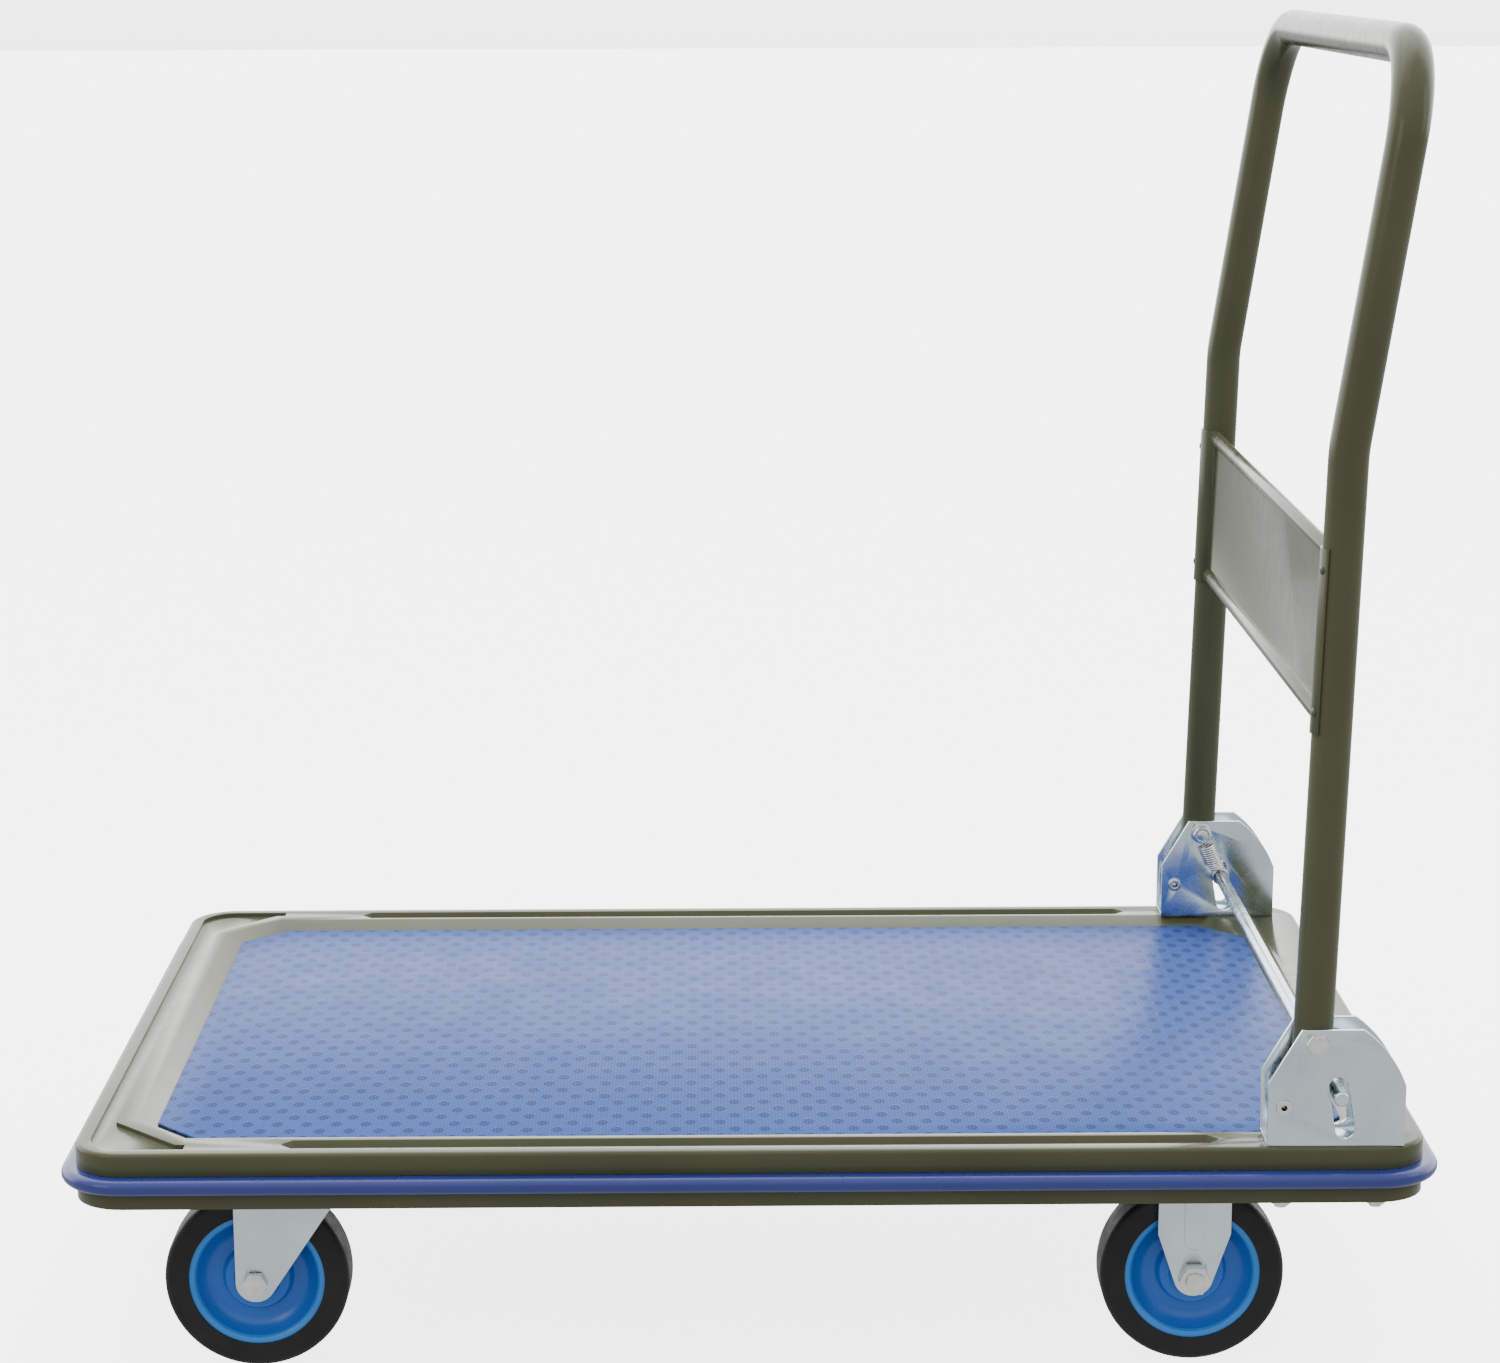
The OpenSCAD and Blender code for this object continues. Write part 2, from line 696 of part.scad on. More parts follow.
module swivel_fork(side) {
    crown_l = trail + end_r;
    color("lightsteelblue") swivel_place(side) difference() {
        union() {
            translate([0, 0, crown_z]) linear_extrude(plate_t) {
                circle(crown_r, $fn = 64);
                translate([-crown_l, -fork_half]) square([crown_l, 2 * fork_half]);
            }
            for (y = [-fork_half + fork_t, fork_half])
                translate([-trail, y, axle_z]) rotate([90, 0, 0]) linear_extrude(fork_t)
                    swivel_cheek();
            translate([0, 0, crown_z + plate_t]) cylinder(r = ball_ring + 5, h = 7);
        }
        translate([0, 0, race_z]) rotate_extrude() translate([ball_ring, 0])
            circle(ball_r + FIT, $fn = 32);
        translate([0, 0, crown_z - CUT]) cylinder(r = kingpin_r, h = 4 * plate_t);
        translate([-trail, 0, axle_z]) rotate([90, 0, 0])
            cylinder(d = axle_d, h = 4 * fork_half, center = true);
    }
}

module swivel_fork_left() { swivel_fork(LEFT); }

module swivel_fork_right() { swivel_fork(RIGHT); }

// Pin through the fork's crown, with a head below it and one above the top plate
module kingpin(side) {
    color("silver") swivel_place(side) {
        translate([0, 0, crown_z - 2]) cylinder(r = kingpin_r + 3, h = 2);
        translate([0, 0, crown_z - 1]) cylinder(r = kingpin_r, h = plate_top - crown_z + 2);
        translate([0, 0, plate_top + 0.4]) cylinder(r = kingpin_r + 3, h = 1.8);
    }
}

module kingpin_left() { kingpin(LEFT); }

module kingpin_right() { kingpin(RIGHT); }

// Fork cheek of a rigid caster: straight sides that taper to a round end
module rigid_cheek() {
    top = plate_top - plate_t - axle_z;
    circle(end_r, $fn = 48);
    polygon([[-end_r * 0.96, -end_r * 0.28], [end_r * 0.96, -end_r * 0.28],
             [rigid_half, rigid_taper], [rigid_half, top], [-rigid_half, top],
             [-rigid_half, rigid_taper]]);
}

module rigid_fork(side) {
    color("lightsteelblue") rigid_place(side) difference() {
        union() {
            top_plate();
            for (y = [-fork_half + fork_t, fork_half])
                translate([0, y, axle_z]) rotate([90, 0, 0]) linear_extrude(fork_t)
                    rigid_cheek();
            for (s = [-1, 1]) translate([0, s * fork_half, 0]) {
                translate([0, 0, axle_z + rib_end]) rotate([90, 0, 0])
                    cylinder(d = rib_w, h = 3, center = true);
                translate([-rib_w / 2, -1.5, axle_z + rib_end])
                    cube([rib_w, 3, plate_top - plate_t - axle_z - rib_end]);
            }
        }
        translate([0, 0, axle_z]) rotate([90, 0, 0])
            cylinder(d = axle_d, h = 4 * fork_half, center = true);
    }
}

module rigid_fork_left() { rigid_fork(LEFT); }

module rigid_fork_right() { rigid_fork(RIGHT); }

module caster_bolts() {
    color("silver") caster_hole_places() {
        translate([0, 0, plate_top - plate_t - head_h]) hex(head_af, head_h);
        translate([0, 0, plate_top - plate_t])
            cylinder(r = bolt_r, h = plate_t + channel_t + nut_h + 1);
    }
}

module caster_nuts() {
    color("silver") caster_hole_places() translate([0, 0, plate_top + channel_t]) difference() {
        hex(head_af, nut_h);
        translate([0, 0, -CUT]) cylinder(r = bolt_r, h = nut_h + 2 * CUT);
    }
}

// Axle bolt with its head on the cart's outer side, lying along y
module axle(side) {
    rotate([side * -90, 0, 0]) {
        translate([0, 0, fork_half]) hex(axle_head_af, axle_head_h);
        translate([0, 0, -fork_half - axle_nut_h - 2])
            cylinder(d = axle_d, h = 2 * fork_half + axle_nut_h + 2);
    }
}

module axle_nut(side) {
    rotate([side * -90, 0, 0]) translate([0, 0, -fork_half - axle_nut_h]) difference() {
        hex(axle_nut_af, axle_nut_h);
        translate([0, 0, -CUT]) cylinder(d = axle_d, h = axle_nut_h + 2 * CUT);
    }
}

module axle_sleeve() {
    rotate([90, 0, 0]) difference() {
        cylinder(r = sleeve_out, h = fork_gap, center = true);
        cylinder(d = axle_d, h = 2 * fork_gap, center = true);
    }
}

module swivel_axle(side) {
    color("silver") swivel_place(side) translate([-trail, 0, axle_z]) axle(side);
}

module swivel_axle_left() { swivel_axle(LEFT); }

module swivel_axle_right() { swivel_axle(RIGHT); }

module swivel_axle_nut(side) {
    color("silver") swivel_place(side) translate([-trail, 0, axle_z]) axle_nut(side);
}

module swivel_axle_nut_left() { swivel_axle_nut(LEFT); }

module swivel_axle_nut_right() { swivel_axle_nut(RIGHT); }

module swivel_sleeve(side) {
    color("silver") swivel_place(side) translate([-trail, 0, axle_z]) axle_sleeve();
}

module swivel_sleeve_left() { swivel_sleeve(LEFT); }

module swivel_sleeve_right() { swivel_sleeve(RIGHT); }

module rigid_axles() {
    color("silver") for (s = [LEFT, RIGHT]) rigid_place(s) translate([0, 0, axle_z]) axle(-s);
}

module rigid_axle_nuts() {
    color("silver") for (s = [LEFT, RIGHT]) rigid_place(s) translate([0, 0, axle_z])
        axle_nut(-s);
}

module rigid_sleeves() {
    color("silver") for (s = [LEFT, RIGHT]) rigid_place(s) translate([0, 0, axle_z])
        axle_sleeve();
}

// Solid rubber tyre moulded onto the rim, turned about y
module tyre() {
    shoulder = 5;
    color([0.16, 0.16, 0.17]) rotate([90, 0, 0]) rotate_extrude($fn = 96) {
        depth = wheel_d / 2 - rim_r;
        translate([rim_r, -tyre_w / 2]) square([depth - shoulder, tyre_w]);
        translate([rim_r, -tyre_w / 2 + shoulder]) square([depth, tyre_w - 2 * shoulder]);
        for (y = [-1, 1]) translate([wheel_d / 2 - shoulder, y * (tyre_w / 2 - shoulder)])
            circle(shoulder, $fn = 48);
    }
}

// Moulded rim: bore, raised hub ring, dished web and outer ring
module rim() {
    bore = sleeve_out + FIT;
    dish_in = 24;
    dish_out = rim_r - 4;
    dish_floor = 4;
    half = concat([[bore, hub_w / 2], [15, hub_w / 2], [16, 13], [20, 12.5], [22, 11.5]],
        [for (t = [0 : 0.1 : 1]) [dish_in + (dish_out - dish_in) * t,
                                  dish_floor + 10 * pow(max(0, (t - 0.3) / 0.7), 2)]],
        [[rim_r - 3, 15], [rim_r, 15]]);
    back = [for (i = [len(half) - 1 : -1 : 0]) [half[i][0], -half[i][1]]];
    color([0.12, 0.45, 0.75]) rotate([90, 0, 0]) rotate_extrude($fn = 96)
        polygon(concat(half, back));
}

module on_swivel(side) { swivel_place(side) translate([-trail, 0, axle_z]) children(); }

module on_rigid(side) { rigid_place(side) translate([0, 0, axle_z]) children(); }

module tyre_swivel_left() { on_swivel(LEFT) tyre(); }

module tyre_swivel_right() { on_swivel(RIGHT) tyre(); }

module tyre_rigid_left() { on_rigid(LEFT) tyre(); }

module tyre_rigid_right() { on_rigid(RIGHT) tyre(); }

module rim_swivel_left() { on_swivel(LEFT) rim(); }

module rim_swivel_right() { on_swivel(RIGHT) rim(); }

module rim_rigid_left() { on_rigid(LEFT) rim(); }

module rim_rigid_right() { on_rigid(RIGHT) rim(); }

deck_pan();
deck_mat();
bumper();
cross_channel_front();
cross_channel_rear();
spine_channel();
hinge_bracket_left();
hinge_bracket_right();
bracket_bolts();
bracket_nuts();
bracket_sleeves();
pivot_bolts();
pivot_washers();
pivot_nuts();
stop_rivets();
handle_tube();
handle_panel();
panel_rivets();
pivot_bushings();
foot_bar();
foot_bar_clips();
spring_left();
spring_right();
swivel_plate_left();
swivel_plate_right();
swivel_balls_left();
swivel_balls_right();
rigid_fork_left();
rigid_fork_right();
caster_bolts();
caster_nuts();
swivel_fork_left();
swivel_fork_right();
kingpin_left();
kingpin_right();
swivel_axle_left();
swivel_axle_right();
swivel_axle_nut_left();
swivel_axle_nut_right();
rigid_axles();
rigid_axle_nuts();
swivel_sleeve_left();
swivel_sleeve_right();
rigid_sleeves();
tyre_swivel_left();
tyre_swivel_right();
tyre_rigid_left();
tyre_rigid_right();
rim_swivel_left();
rim_swivel_right();
rim_rigid_left();
rim_rigid_right();
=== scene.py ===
import math

import bmesh
import bpy
from mathutils import Matrix, Vector


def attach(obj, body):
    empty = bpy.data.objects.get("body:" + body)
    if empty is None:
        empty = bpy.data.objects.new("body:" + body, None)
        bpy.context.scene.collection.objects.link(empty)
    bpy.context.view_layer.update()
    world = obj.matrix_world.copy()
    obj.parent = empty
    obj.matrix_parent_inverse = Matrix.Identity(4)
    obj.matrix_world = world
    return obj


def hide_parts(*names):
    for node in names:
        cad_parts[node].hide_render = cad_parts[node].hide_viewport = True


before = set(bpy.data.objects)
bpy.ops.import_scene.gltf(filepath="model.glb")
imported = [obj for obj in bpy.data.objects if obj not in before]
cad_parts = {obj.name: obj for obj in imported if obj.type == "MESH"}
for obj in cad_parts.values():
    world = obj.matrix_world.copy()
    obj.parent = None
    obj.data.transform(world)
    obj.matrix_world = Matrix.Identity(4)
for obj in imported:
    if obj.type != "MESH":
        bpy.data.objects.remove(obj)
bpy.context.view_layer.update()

# ---- Camera ------------------------------------------------------------------------------
# A long lens stands in front of the cart's long side, a little above the handle's top,
# and looks down on the deck.
PITCH = math.radians(12.807)
YAW = math.radians(0.573)
ROLL = math.radians(-0.154)
LENS_MM = 83.3
look = Vector((math.sin(YAW) * math.cos(PITCH), math.cos(YAW) * math.cos(PITCH), -math.sin(PITCH)))
level = look.cross(Vector((0, 0, 1))).normalized()
upright = level.cross(look)
side = level * math.cos(ROLL) + upright * math.sin(ROLL)
top = upright * math.cos(ROLL) - level * math.sin(ROLL)
camera_data = bpy.data.cameras.new("camera")
camera = bpy.data.objects.new("camera", camera_data)
bpy.context.scene.collection.objects.link(camera)
camera_data.sensor_width = 36
camera_data.lens = LENS_MM
camera_data.shift_y = 0.0334
camera_data.clip_end = 60
camera.matrix_world = Matrix((
    (side.x, top.x, -look.x, -0.0213),
    (side.y, top.y, -look.y, -2.4342),
    (side.z, top.z, -look.z, 0.9457),
    (0, 0, 0, 1)))
bpy.context.scene.camera = camera

# ---- Floor and light ---------------------------------------------------------------------
# A white floor runs off into a white backdrop. The studio in front of the cart and the ground
# that shows in the paint are dimmer, so that upright faces stay deep in colour, and three soft
# lights draw the highlights.
FLOOR_GLOW = 3.9
BACKDROP = 4.6
STUDIO_LOW = 0.75
STUDIO_HIGH = 1.9
GROUND = 0.95
bpy.ops.object.select_all(action="DESELECT")
bpy.ops.mesh.primitive_plane_add(size=60, location=(0, 0, 0))
floor = bpy.context.object
floor.name = "studio_floor"
floor_paint = bpy.data.materials.new("floor_white")
floor_paint.use_nodes = True
floor_shader = floor_paint.node_tree.nodes["Principled BSDF"]
floor_shader.inputs["Base Color"].default_value = (0.60, 0.60, 0.59, 1)
floor_shader.inputs["Roughness"].default_value = 0.9
floor_shader.inputs["Specular IOR Level"].default_value = 0.1
floor_shader.inputs["Emission Color"].default_value = (1, 1, 1, 1)
floor_shader.inputs["Emission Strength"].default_value = FLOOR_GLOW
floor.data.materials.append(floor_paint)
floor.visible_diffuse = False
floor.visible_glossy = False

world = bpy.data.worlds.new("studio")
bpy.context.scene.world = world
world.use_nodes = True
sky = world.node_tree
direction = sky.nodes.new("ShaderNodeTexCoord")
axes = sky.nodes.new("ShaderNodeSeparateXYZ")
sky.links.new(direction.outputs["Generated"], axes.inputs["Vector"])
# in front of the cart the studio brightens from the horizon up
front = sky.nodes.new("ShaderNodeMapRange")
front.inputs["From Min"].default_value = 0.0
front.inputs["From Max"].default_value = 0.8
front.inputs["To Min"].default_value = STUDIO_LOW
front.inputs["To Max"].default_value = STUDIO_HIGH
sky.links.new(axes.outputs["Z"], front.inputs["Value"])
# it fades into the backdrop on the far side
fade = sky.nodes.new("ShaderNodeMapRange")
fade.interpolation_type = "SMOOTHSTEP"
fade.inputs["From Min"].default_value = -0.05
fade.inputs["From Max"].default_value = 0.30
fade.inputs["To Max"].default_value = BACKDROP
sky.links.new(axes.outputs["Y"], fade.inputs["Value"])
sky.links.new(front.outputs["Result"], fade.inputs["To Min"])
# and below the horizon there is only dim ground
horizon = sky.nodes.new("ShaderNodeMapRange")
horizon.interpolation_type = "SMOOTHSTEP"
horizon.inputs["From Min"].default_value = -0.12
horizon.inputs["From Max"].default_value = 0.0
sky.links.new(axes.outputs["Z"], horizon.inputs["Value"])
brightness = sky.nodes.new("ShaderNodeMix")
brightness.inputs["A"].default_value = GROUND
sky.links.new(horizon.outputs["Result"], brightness.inputs["Factor"])
sky.links.new(fade.outputs["Result"], brightness.inputs["B"])
sky.nodes["Background"].inputs["Color"].default_value = (1, 1, 1, 1)
sky.links.new(brightness.outputs["Result"], sky.nodes["Background"].inputs["Strength"])


def soft_light(name, place, aim, size, power):
    """An area light at place that shines at aim."""
    lamp_data = bpy.data.lights.new(name, "AREA")
    lamp_data.shape = "RECTANGLE"
    lamp_data.size, lamp_data.size_y = size
    lamp_data.energy = power
    lamp = bpy.data.objects.new(name, lamp_data)
    bpy.context.scene.collection.objects.link(lamp)
    lamp.location = place
    lamp.rotation_euler = (Vector(aim) - Vector(place)).to_track_quat("-Z", "Y").to_euler()


soft_light("overhead", (-0.4, 0.4, 3.2), (0, 0, 0.2), (3.0, 2.0), 26)
soft_light("front_left", (-2.6, -2.6, 1.9), (0, 0, 0.3), (1.4, 1.4), 16)
soft_light("right_side", (3.0, -0.8, 1.6), (0.2, 0, 0.3), (1.0, 1.6), 12)

# ---- Deck pan, handle tube, panel and under-deck channels: olive enamel ------------------
# Pressed steel and bent tube, phosphated and stoved with a thick gloss olive-green enamel.
# The coat is a little uneven in colour and in gloss.


def new_material(name):
    """An empty node material: its node tree and its Principled shader."""
    material = bpy.data.materials.new(name)
    material.use_nodes = True
    return material, material.node_tree, material.node_tree.nodes["Principled BSDF"]


def noise(tree, scale, detail=3.0, stretch=(1, 1, 1)):
    """Noise on the piece's own coordinates; returns the node's value socket."""
    place = tree.nodes.new("ShaderNodeTexCoord")
    mapping = tree.nodes.new("ShaderNodeMapping")
    mapping.inputs["Scale"].default_value = stretch
    grain = tree.nodes.new("ShaderNodeTexNoise")
    grain.inputs["Scale"].default_value = scale
    grain.inputs["Detail"].default_value = detail
    tree.links.new(place.outputs["Object"], mapping.inputs["Vector"])
    tree.links.new(mapping.outputs["Vector"], grain.inputs["Vector"])
    return grain.outputs["Fac"]


def ramp(tree, value, stops):
    """Colours along a value: stops are (position, colour) pairs."""
    node = tree.nodes.new("ShaderNodeValToRGB")
    ends = node.color_ramp.elements
    while len(ends) < len(stops):
        ends.new(0.5)
    for end, (position, colour) in zip(ends, stops):
        end.position = position
        end.color = (*colour, 1)
    tree.links.new(value, node.inputs["Fac"])
    return node.outputs["Color"]


def spread(tree, value, low, high):
    """A value from 0.3 to 0.7 spread over low to high."""
    node = tree.nodes.new("ShaderNodeMapRange")
    node.inputs["From Min"].default_value = 0.3
    node.inputs["From Max"].default_value = 0.7
    node.inputs["To Min"].default_value = low
    node.inputs["To Max"].default_value = high
    tree.links.new(value, node.inputs["Value"])
    return node.outputs["Result"]


def bump(tree, shader, height, distance, strength=1.0):
    """Raises a shader's surface by a height that runs from 0 to 1, distance in metres."""
    node = tree.nodes.new("ShaderNodeBump")
    node.inputs["Distance"].default_value = distance
    node.inputs["Strength"].default_value = strength
    tree.links.new(height, node.inputs["Height"])
    tree.links.new(node.outputs["Normal"], shader.inputs["Normal"])


OLIVE_DEEP = (0.050, 0.054, 0.028)
OLIVE_BROAD = (0.060, 0.065, 0.034)
enamel, tree, shader = new_material("olive_enamel")
tree.links.new(ramp(tree, noise(tree, 7), [(0.35, OLIVE_DEEP), (0.65, OLIVE_BROAD)]),
               shader.inputs["Base Color"])
tree.links.new(spread(tree, noise(tree, 60), 0.16, 0.24), shader.inputs["Roughness"])
bump(tree, shader, noise(tree, 260, 2), 0.00006, 0.6)
shader.inputs["IOR"].default_value = 1.22
shader.inputs["Coat Weight"].default_value = 0.06
shader.inputs["Coat Roughness"].default_value = 0.05


# points of a copy that are nearer than this, in metres, are joined
MERGE = 0.00002


def middle(node):
    """The middle of a CAD node's box, in metres."""
    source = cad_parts[node]
    corners = [source.matrix_world @ Vector(corner) for corner in source.bound_box]
    return sum(corners, Vector()) / 8


def smooth_copy(node, body, material, edge=0.0004, flat=True):
    """A copy of a CAD node with its edges broken by edge and a finish on it.

    flat joins the triangles of each flat face; a turned piece keeps them.
    """
    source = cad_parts[node]
    mesh = source.data.copy()
    piece = bpy.data.objects.new(node + "_finished", mesh)
    bpy.context.scene.collection.objects.link(piece)
    shape = bmesh.new()
    shape.from_mesh(mesh)
    bmesh.ops.transform(shape, matrix=source.matrix_world, verts=shape.verts)
    bmesh.ops.remove_doubles(shape, verts=shape.verts, dist=MERGE)
    if flat:
        bmesh.ops.dissolve_limit(shape, angle_limit=math.radians(0.5), verts=shape.verts,
                                 edges=shape.edges)
    shape.to_mesh(mesh)
    shape.free()
    mesh.materials.clear()
    mesh.materials.append(material)
    bpy.ops.object.select_all(action="DESELECT")
    piece.select_set(True)
    bpy.context.view_layer.objects.active = piece
    if edge:
        round_off = piece.modifiers.new("broken_edges", "BEVEL")
        round_off.width = edge
        round_off.segments = 2
        round_off.limit_method = "ANGLE"
        round_off.angle_limit = math.radians(40)
        round_off.use_clamp_overlap = True
        bpy.ops.object.modifier_apply(modifier=round_off.name)
    bpy.ops.object.shade_smooth_by_angle(angle=math.radians(38))
    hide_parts(node)
    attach(piece, body)
    return piece


for node in ("deck_pan", "cross_channel_front", "cross_channel_rear", "spine_channel"):
    smooth_copy(node, "deck", enamel)
for node in ("handle_panel", "panel_rivets"):
    smooth_copy(node, "handle", enamel, edge=0.0003)

# ---- Handle tube --------------------------------------------------------------------------
# One length of 26 mm tube, bent outward at the knees and square across the top. The top
# corners spread a little where they were bent.
TUBE_R = 0.013
TUBE_WALL = 0.0015
FOOT = 0.031
LOW_RUN = 0.378
UP_RUN = 0.182
KNEE_R = 0.120
TOP_R = 0.062
LEAN_LOW = math.radians(1.5)
LEAN_UP = math.radians(8.5)
HINGE_Y = 0.274
CORNER_SPREAD = 1.035
PIVOT_HOLE_R = 0.006
pivot = middle("pivot_washers")
pivot.y = 0
low_way = Vector((math.sin(LEAN_LOW), 0, math.cos(LEAN_LOW)))
up_way = Vector((math.sin(LEAN_UP), 0, math.cos(LEAN_UP)))
knee_start = pivot + low_way * LOW_RUN
knee_middle = knee_start + Vector((math.cos(LEAN_LOW), 0, -math.sin(LEAN_LOW))) * KNEE_R
half_route = [(pivot - low_way * FOOT, 1.0)]
for step in range(7):
    lean = LEAN_LOW + (LEAN_UP - LEAN_LOW) * step / 6
    half_route.append((knee_middle - Vector((math.cos(lean), 0, -math.sin(lean))) * KNEE_R, 1.0))
corner_start = half_route[-1][0] + up_way * UP_RUN
for step in range(17):
    turn = math.pi / 2 * step / 16
    spread_here = 1 + (CORNER_SPREAD - 1) * math.sin(math.pi * step / 16)
    half_route.append((corner_start + up_way * TOP_R * math.sin(turn)
                       + Vector((0, TOP_R * (1 - math.cos(turn)), 0)), spread_here))
near_side = [(place - Vector((0, HINGE_Y, 0)), radius) for place, radius in half_route]
far_side = [(Vector((place.x, -place.y, place.z)), radius) for place, radius in reversed(near_side)]
route = near_side + far_side
path = bpy.data.curves.new("handle_tube_bent", "CURVE")
path.dimensions = "3D"
path.bevel_depth = TUBE_R
path.bevel_resolution = 10
line = path.splines.new("POLY")
line.points.add(len(route) - 1)
for point, (place, radius) in zip(line.points, route):
    point.co = (*place, 1)
    point.radius = radius
bent_tube = bpy.data.objects.new("handle_tube_bent", path)
bpy.context.scene.collection.objects.link(bent_tube)
bpy.ops.object.select_all(action="DESELECT")
bent_tube.select_set(True)
bpy.context.view_layer.objects.active = bent_tube
bpy.ops.object.convert(target="MESH")
bent_tube = bpy.context.object
walls = bent_tube.modifiers.new("wall", "SOLIDIFY")
walls.thickness = TUBE_WALL
walls.offset = -1
bpy.ops.object.modifier_apply(modifier=walls.name)
bpy.ops.object.select_all(action="DESELECT")
bpy.ops.mesh.primitive_cylinder_add(vertices=48, radius=PIVOT_HOLE_R, depth=0.7,
                                    location=(pivot.x, 0, pivot.z),
                                    rotation=(math.pi / 2, 0, 0))
drill = bpy.context.object
bpy.ops.object.select_all(action="DESELECT")
bent_tube.select_set(True)
bpy.context.view_layer.objects.active = bent_tube
holes = bent_tube.modifiers.new("pivot_holes", "BOOLEAN")
holes.operation = "DIFFERENCE"
holes.solver = "EXACT"
holes.object = drill
bpy.ops.object.modifier_apply(modifier=holes.name)
bpy.data.objects.remove(drill)
bpy.ops.object.shade_smooth_by_angle(angle=math.radians(35))
bent_tube.data.materials.clear()
bent_tube.data.materials.append(enamel)
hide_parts("handle_tube")
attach(bent_tube, "handle")

# ---- Deck mat ----------------------------------------------------------------------------
# A blue vinyl sheet glued into the recess, embossed with a fine crossed weave and staggered
# lozenges that read darker than the woven ground.
vinyl, tree, shader = new_material("blue_vinyl")


def ripple(tree, angle, pitch):
    """Even ribs across the mat at an angle, pitch apart in metres."""
    place = tree.nodes.new("ShaderNodeTexCoord")
    turn = tree.nodes.new("ShaderNodeMapping")
    turn.inputs["Rotation"].default_value = (0, 0, angle)
    wave = tree.nodes.new("ShaderNodeTexWave")
    wave.inputs["Scale"].default_value = 0.314 / pitch
    tree.links.new(place.outputs["Object"], turn.inputs["Vector"])
    tree.links.new(turn.outputs["Vector"], wave.inputs["Vector"])
    return wave.outputs["Fac"]


def combine(tree, operation, first, second):
    """One maths node on two sockets or a socket and a number."""
    node = tree.nodes.new("ShaderNodeMath")
    node.operation = operation
    for entry, value in zip(node.inputs, (first, second)):
        if isinstance(value, (int, float)):
            entry.default_value = value
        else:
            tree.links.new(value, entry)
    return node.outputs["Value"]


LOZENGE_X = 0.0198
LOZENGE_Y = 0.0275
RIB_PITCH = 0.0024
RIB_ANGLE = math.radians(58)
place = tree.nodes.new("ShaderNodeTexCoord")
axes = tree.nodes.new("ShaderNodeSeparateXYZ")
tree.links.new(place.outputs["Object"], axes.inputs["Vector"])
along = combine(tree, "COSINE", combine(tree, "MULTIPLY", axes.outputs["X"],
                                        2 * math.pi / LOZENGE_X), 0)
across = combine(tree, "COSINE", combine(tree, "MULTIPLY", axes.outputs["Y"],
                                         2 * math.pi / LOZENGE_Y), 0)
# the sum of two cosines peaks on one grid, its negative on the grid between
crest = combine(tree, "ABSOLUTE", combine(tree, "ADD", along, across), 0)
lozenge_node = tree.nodes.new("ShaderNodeMapRange")
lozenge_node.interpolation_type = "SMOOTHSTEP"
lozenge_node.inputs["From Min"].default_value = 1.2
lozenge_node.inputs["From Max"].default_value = 1.5
tree.links.new(crest, lozenge_node.inputs["Value"])
lozenge = lozenge_node.outputs["Result"]
ribs = combine(tree, "MULTIPLY", ripple(tree, RIB_ANGLE, RIB_PITCH),
               ripple(tree, -RIB_ANGLE, RIB_PITCH))
ground = ramp(tree, noise(tree, 5), [(0.3, (0.022, 0.055, 0.22)), (0.7, (0.028, 0.066, 0.25))])
tint = tree.nodes.new("ShaderNodeMix")
tint.data_type = "RGBA"
tree.links.new(combine(tree, "MULTIPLY", lozenge, 0.9), tint.inputs["Factor"])
tree.links.new(ground, tint.inputs["A"])
tint.inputs["B"].default_value = (0.010, 0.026, 0.12, 1)
# the crests of the weave's ribs are painted paler: a painted highlight standing in for light glinting on
# the ribs
painted_rib_sheen = tree.nodes.new("ShaderNodeMix")
painted_rib_sheen.data_type = "RGBA"
tree.links.new(combine(tree, "MULTIPLY", ribs, 0.45), painted_rib_sheen.inputs["Factor"])
tree.links.new(tint.outputs["Result"], painted_rib_sheen.inputs["A"])
painted_rib_sheen.inputs["B"].default_value = (0.10, 0.16, 0.36, 1)
tree.links.new(painted_rib_sheen.outputs["Result"], shader.inputs["Base Color"])
tree.links.new(spread(tree, noise(tree, 30), 0.30, 0.40), shader.inputs["Roughness"])
relief = combine(tree, "ADD", combine(tree, "MULTIPLY", ribs, 0.5), lozenge)
bump(tree, shader, relief, 0.0004, 0.55)
shader.inputs["IOR"].default_value = 1.11
smooth_copy("deck_mat", "deck", vinyl, edge=0.0006)

# ---- Bumper ------------------------------------------------------------------------------
# One soft PVC extrusion, gloss blue, sprung into the groove of the skirt and wrapped round
# all four corners.
pvc, tree, shader = new_material("bumper_pvc")
tree.links.new(ramp(tree, noise(tree, 4), [(0.3, (0.016, 0.024, 0.13)), (0.7, (0.022, 0.032, 0.17))]),
               shader.inputs["Base Color"])
tree.links.new(spread(tree, noise(tree, 45), 0.20, 0.30), shader.inputs["Roughness"])
bump(tree, shader, noise(tree, 22, 2), 0.0004, 0.25)
shader.inputs["IOR"].default_value = 1.4
smooth_copy("bumper", "deck", pvc, edge=0)

# ---- Hinge brackets, forks, top plates and foot bar: zinc plate ---------------------------
# Folded and pressed steel, barrel plated with zinc and blue-passivated: a soft, slightly
# cloudy metal with a cold tint.
zinc, tree, shader = new_material("blue_zinc")
tree.links.new(ramp(tree, noise(tree, 24, 5), [(0.3, (0.50, 0.57, 0.62)), (0.7, (0.62, 0.69, 0.73))]),
               shader.inputs["Base Color"])
tree.links.new(spread(tree, noise(tree, 90, 4), 0.18, 0.32), shader.inputs["Roughness"])
bump(tree, shader, noise(tree, 500, 3), 0.00001, 0.3)
shader.inputs["Metallic"].default_value = 1.0
for node in ("hinge_bracket_left", "hinge_bracket_right", "rigid_fork_left", "rigid_fork_right",
             "swivel_plate_left", "swivel_plate_right"):
    smooth_copy(node, "deck", zinc, edge=0.0008)
smooth_copy("foot_bar", "foot_bar", zinc, edge=0.0004)
